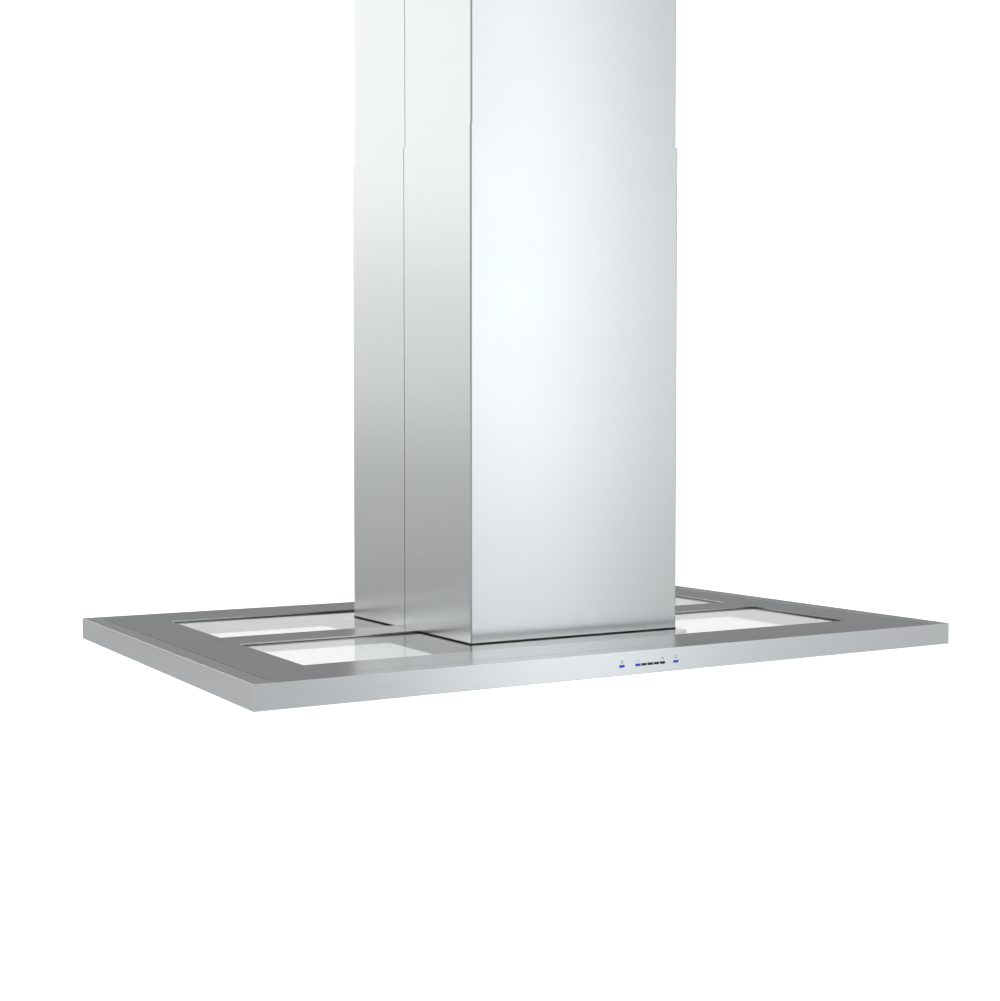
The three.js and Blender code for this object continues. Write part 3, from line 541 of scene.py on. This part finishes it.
def symbol(name, x, strokes, material):
    """Printed strokes over the bar at x, each laid a hair above the one before."""
    mesh = bmesh.new()
    place = on_front(x * MM, bar_z + SYMBOL_RISE)
    for k, (a, b) in enumerate(strokes):
        back = PRINT_BACK - PRINT_STEP * k
        outline = stroke([c * MM for c in a], [c * MM for c in b], STROKE_WIDTH)
        add_loop_prism(mesh, outline, lambda u, v, w: place(u, v, w + back), PRINT_DEPTH)
    piece(name, closed(mesh), material, "hood")


# each symbol's strokes, end to end, in millimetres from its middle
fan = [((-1.9, -1.6), (0, 1.9)), ((0, 1.9), (1.9, -1.6)), ((1.9, -1.6), (-1.9, -1.6))]
down = [((-2.1, 1.7), (0, -1.5)), ((0, -1.5), (2.1, 1.7))]
rise = [((-2.1, -1.7), (0, 1.5)), ((0, 1.5), (2.1, -1.7))]
lamp_lines = [((-1.7, 1.4), (1.7, 1.4)), ((-1.7, -1.0), (1.7, -1.0))]
symbol("symbol_fan", LIT[0], fan, print_grey)
symbol("symbol_slower", LIT[1], down, print_blue)
symbol("symbol_faster", DARK[-1], rise, print_grey)
symbol("symbol_lamp", LIT[2], lamp_lines, print_grey)


def frame_ring(mesh, x0, x1, y0, y1, z0, z1, width):
    """A rectangular ring of the given width just inside the box's sides."""

    def loop(inset, z):
        xs, ys = (x0 + inset, x1 - inset), (y0 + inset, y1 - inset)
        return [mesh.verts.new((xs[i], ys[j], z)) for i, j in ((0, 0), (1, 0), (1, 1), (0, 1))]

    tube(mesh, [loop(width, z0), loop(0, z0), loop(0, z1), loop(width, z1)])


def window_edges():
    """Black bedding strip seen all round each window, between the glass and the steel."""
    glass_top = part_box("glass_front")[1].z
    half_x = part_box("pan_rail_right")[0].x - BEDDING_GAP
    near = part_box("cross_beam_right")[1].y + BEDDING_GAP
    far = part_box("pan_rail_rear")[0].y - BEDDING_GAP
    heights = [glass_top + z for z in BEDDING_HEIGHTS]
    for side, sy in zip(FRONTS, WAYS):
        mesh = bmesh.new()
        frame_ring(mesh, -half_x, half_x, *sorted((sy * near, sy * far)), *heights, BEDDING_WIDTH)
        piece(f"window_edge_{side}", closed(mesh), rubber, "hood")


window_edges()


def base_shadow_ring():
    """Black lip round the chimney's foot, standing on the glass and closing the gap below the covers. It is a
    painted shadow: the dark line where the covers meet the glass.
    """
    cover_low, cover_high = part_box("lower_cover_rear")
    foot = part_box("glass_front")[1].z + SHADOW_RING_FOOT
    lip = cover_low.z + SHADOW_RING_LAP
    mesh = bmesh.new()

    def ring(out, z):
        loop = rounded_loop(cover_high.x + out, cover_high.y + out, COVER_BEND + out, steps=5)
        return [mesh.verts.new((x, y, z)) for x, y in loop]

    section = [(SHADOW_RING_GAP, foot), (SHADOW_RING_WIDTH, foot), (SHADOW_RING_WIDTH, lip), (SHADOW_RING_GAP, lip)]
    tube(mesh, [ring(out, z) for out, z in section])
    piece("base_shadow_ring", closed(mesh), rubber, "hood")


base_shadow_ring()


# a screw head's outline from rim to recess, and the recess's points, each as (radius, height) over head radius
HEAD_PROFILE = [(1.0, 0.0), (1.0, 0.18), (0.9, 0.38), (0.68, 0.52), (0.42, 0.58)]
HEAD_SIDES = 20
CROSS_RADII = (0.3, 0.12)
CROSS_HEIGHT = 0.2


def screw_heads(name, points, normal, radius, body):
    """Pan-head screws with a cross recess, their heads standing on the given points along normal."""
    mesh = bmesh.new()
    turn = Vector((0, 0, 1)).rotation_difference(Vector(normal)).to_matrix().to_4x4()
    cross = [CROSS_RADII[0] if i % (HEAD_SIDES // 4) == 0 else CROSS_RADII[1] for i in range(HEAD_SIDES)]
    for point in points:
        placed = Matrix.Translation(Vector(point)) @ turn

        def ring(radii, height):
            spots = []
            for i, r in enumerate(radii):
                a = 2 * math.pi * i / HEAD_SIDES
                spots.append(placed @ (radius * Vector((r * math.cos(a), r * math.sin(a), height))))
            return [mesh.verts.new(spot) for spot in spots]

        rings = [ring([r] * HEAD_SIDES, h) for r, h in HEAD_PROFILE] + [ring(cross, CROSS_HEIGHT)]
        mesh.faces.new(list(reversed(rings[0])))
        mesh.faces.new(rings[-1])
        for a, b in zip(rings, rings[1:]):
            join_rings(mesh, a, b)
    piece(name, closed(mesh), steel["shaft"], body)


def frame_screws():
    plate_low, plate_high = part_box("ceiling_plate")
    out_x, out_y = plate_high.x - CEILING_INSET, plate_high.y - CEILING_INSET
    under = [(sx * out_x, sy * out_y, plate_low.z) for sx in WAYS for sy in WAYS]
    screw_heads("ceiling_screws", under, (0, 0, -1), CEILING_SCREW, "ceiling")

    lid_low, lid_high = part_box("electronics_cover")
    in_x, in_z = LID_INSET
    lid_x = (lid_low.x + in_x, lid_high.x - in_x)
    lid_z = (lid_low.z + in_z, lid_high.z - in_z)
    lid = [(x, lid_low.y, z) for x in lid_x for z in lid_z]
    screw_heads("electronics_screws", lid, (0, -1, 0), SHEET_SCREW, "hood")

    collar_low, collar_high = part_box("outlet_collar")
    flange = collar_high.x - FLANGE_INSET
    top = collar_low.z + FLANGE_SHEET
    collar = [(sx * flange, sy * flange, top) for sx in WAYS for sy in WAYS]
    screw_heads("collar_screws", collar, (0, 0, 1), SHEET_SCREW, "hood")

    tie_low, tie_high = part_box("lower_tie_rear")
    middle = (tie_low.z + tie_high.z) / 2
    for side, sy in zip(FRONTS, WAYS):
        ends = [(sx * (tie_high.x - TIE_INSET), sy * tie_low.y, middle) for sx in WAYS]
        screw_heads(f"tie_screws_{side}", ends, (0, -sy, 0), TIE_SCREW, "hood")


frame_screws()

# ---------------------------------------------------------------- camera
camera_data = bpy.data.cameras.new("camera")
camera_data.lens = LENS
camera_data.sensor_width = SENSOR
camera = bpy.data.objects.new("camera", camera_data)
camera.location = Vector(CAMERA_PLACE) + Vector((0, 0, canopy_top))
camera.rotation_euler = (math.radians(90 - CAMERA_DIP), 0, math.radians(-CAMERA_TURN))
bpy.context.scene.collection.objects.link(camera)
bpy.context.scene.camera = camera


# ---------------------------------------------------------------- studio
def plain(name, colour, strength):
    """A matt surface that glows white."""
    material, _, shader = new_material(name)
    shader.inputs["Base Color"].default_value = (*colour, 1)
    shader.inputs["Roughness"].default_value = 0.9
    shader.inputs["Emission Color"].default_value = (1, 1, 1, 1)
    shader.inputs["Emission Strength"].default_value = strength
    return material


def stage_mesh(name, mesh, material, seen):
    """Part of the studio. Seen ones show to the camera and through glass; others only light and reflect."""
    data = bpy.data.meshes.new(name)
    mesh.to_mesh(data)
    mesh.free()
    obj = bpy.data.objects.new(name, data)
    data.materials.append(material)
    bpy.context.scene.collection.objects.link(obj)
    obj.visible_shadow = False
    obj.visible_camera = obj.visible_transmission = seen
    obj.visible_glossy = not seen
    obj.visible_diffuse = not seen
    return obj


def surroundings():
    """Pale floor and backdrop, and a soft sky that is dimmer overhead."""
    ground = bmesh.new()
    bmesh.ops.create_circle(ground, cap_ends=True, radius=STUDIO_RADIUS, segments=96)
    bmesh.ops.translate(ground, verts=ground.verts, vec=(0, 0, FLOOR_HEIGHT))
    stage_mesh("floor", ground, plain("floor_white", PALE, FLOOR_GLOW), seen=True)
    dome = bmesh.new()
    bmesh.ops.create_uvsphere(dome, u_segments=48, v_segments=24, radius=STUDIO_RADIUS)
    stage_mesh("backdrop", dome, plain("backdrop_white", PALE, BACKDROP_GLOW), seen=True)
    world = bpy.data.worlds.new("studio")
    bpy.context.scene.world = world
    world.use_nodes = True
    tree = world.node_tree
    place = add_node(tree, "ShaderNodeTexCoord")
    split = add_node(tree, "ShaderNodeSeparateXYZ")
    tree.links.new(place.outputs["Generated"], split.inputs["Vector"])
    sky = tinted(tree, split.outputs["Z"], SKY_LOW, SKY_HIGH, source=(0.3, 0.75))
    tree.links.new(sky, tree.nodes["Background"].inputs["Color"])
    tree.nodes["Background"].inputs["Strength"].default_value = SKY_STRENGTH


def steps_ramp(tree, share, steps):
    """A grey ramp through (share, value) steps, scaled to a highest value of 1, and that highest value."""
    ramp = add_node(tree, "ShaderNodeValToRGB")
    ramp.color_ramp.interpolation = "EASE"
    stops = ramp.color_ramp.elements
    while len(stops) < len(steps):
        stops.new(0.5)
    peak = max(value for _, value in steps)
    for stop, (place, value) in zip(stops, steps):
        stop.position = place
        stop.color = (*(t * value / peak for t in STUDIO_WHITE), 1)
    tree.links.new(share, ramp.inputs["Fac"])
    return ramp.outputs["Color"], peak


def panel(name, bearing, distance, width, low, high, glow, spread=None, only=None):
    """An upright studio panel around the hood. bearing is in degrees from +Y towards +X, and low and high are
    heights over the canopy. glow gives (height share, radiance) steps from its bottom to its top, and spread
    (width share, factor) steps from its left to its right. only names the nodes that it lights; others see
    past it."""
    mesh = panel_mesh(bearing, distance, width, low, high)
    made = stage_mesh(name, mesh, panel_light(name, glow, spread, see_through=only), seen=False)
    if only:
        lit = bpy.data.collections.new(f"{name}_lights")
        for node in only:
            lit.objects.link(nodes[node])
        made.light_linking.receiver_collection = lit


def panel_mesh(bearing, distance, width, low, high):
    """One upright rectangle that faces the chimney."""
    a = math.radians(bearing)
    centre = Vector((distance * math.sin(a), distance * math.cos(a), 0))
    along = Vector((math.cos(a), -math.sin(a), 0)) * width / 2
    mesh = bmesh.new()
    corners = [centre - along, centre + along]
    foot = [mesh.verts.new((c.x, c.y, canopy_top + low)) for c in corners]
    head = [mesh.verts.new((c.x, c.y, canopy_top + high)) for c in corners]
    mesh.faces.new((foot[0], foot[1], head[1], head[0]))
    return mesh


def panel_light(name, glow, spread, see_through):
    """A panel's light: glow over its height times spread over its width. A see-through one hides nothing."""
    material = bpy.data.materials.new(name)
    material.use_nodes = True
    tree = material.node_tree
    tree.nodes.clear()
    place = add_node(tree, "ShaderNodeTexCoord")
    split = add_node(tree, "ShaderNodeSeparateXYZ")
    tree.links.new(place.outputs["Generated"], split.inputs["Vector"])
    shine = add_node(tree, "ShaderNodeEmission", Strength=1.0)
    colour, peak = steps_ramp(tree, split.outputs["Z"], glow)
    tree.links.new(colour, shine.inputs["Color"])
    strength = peak
    if spread:
        factor, most = steps_ramp(tree, split.outputs["X"], spread)
        scaled = add_node(tree, "ShaderNodeVectorMath", operation="MULTIPLY")
        tree.links.new(colour, scaled.inputs[0])
        tree.links.new(factor, scaled.inputs[1])
        tree.links.new(scaled.outputs["Vector"], shine.inputs["Color"])
        strength = peak * most
    shine.inputs["Strength"].default_value = strength
    out = add_node(tree, "ShaderNodeOutputMaterial")
    surface = shine.outputs["Emission"]
    if see_through:
        through = add_node(tree, "ShaderNodeBsdfTransparent")
        both = add_node(tree, "ShaderNodeAddShader")
        tree.links.new(surface, both.inputs[0])
        tree.links.new(through.outputs["BSDF"], both.inputs[1])
        surface = both.outputs["Shader"]
    tree.links.new(surface, out.inputs["Surface"])
    return material


def overhead(name, centre, size, radiance):
    """A soft box that looks straight down."""
    data = bpy.data.lights.new(name, "AREA")
    data.shape = "RECTANGLE"
    data.size, data.size_y = size
    data.energy = radiance * math.pi * size[0] * size[1]
    light = bpy.data.objects.new(name, data)
    light.location = centre
    bpy.context.scene.collection.objects.link(light)


surroundings()
panel(
    "panel_front_right", bearing=151.0, distance=3.84, width=2.2, low=-1.0, high=2.9,
    glow=[(0.0, 0.9), (0.1, 1.08), (0.2, 1.24), (0.34, 1.56), (0.5, 1.66), (0.8, 1.45), (1.0, 1.38)],
    spread=[(0.0, 0.4), (0.2, 0.55), (0.42, 1.06), (0.53, 1.06), (0.74, 0.57), (1.0, 0.5)],
)
panel(
    "panel_rear_left", bearing=-29.0, distance=4.1, width=2.6, low=-0.6, high=3.2,
    glow=[(0.0, 0.42), (0.15, 0.58), (0.34, 0.97), (0.52, 1.32), (1.0, 1.34)],
)
panel(
    "panel_rear_right", bearing=31.0, distance=5.0, width=4.4, low=-0.3, high=2.2,
    glow=[(0.0, 0.46), (0.2, 0.33), (0.7, 0.31), (1.0, 0.5)],
)
panel(
    "panel_rear", bearing=-5.0, distance=4.6, width=0.8, low=0.7, high=2.6,
    glow=[(0.0, 1.4), (1.0, 1.4)],
)
panel(
    "glass_sky", bearing=25.0, distance=4.4, width=7.0, low=0.0, high=3.0,
    glow=[(0.0, 0.62), (1.0, 0.62)],
    only=["glass_front", "glass_rear"],
)
overhead("softbox_top", centre=(0.2, -0.6, canopy_top + 3.6), size=(2.4, 2.4), radiance=0.6)

scene = bpy.context.scene
scene.view_settings.view_transform = "Standard"
scene.cycles.use_denoising = True
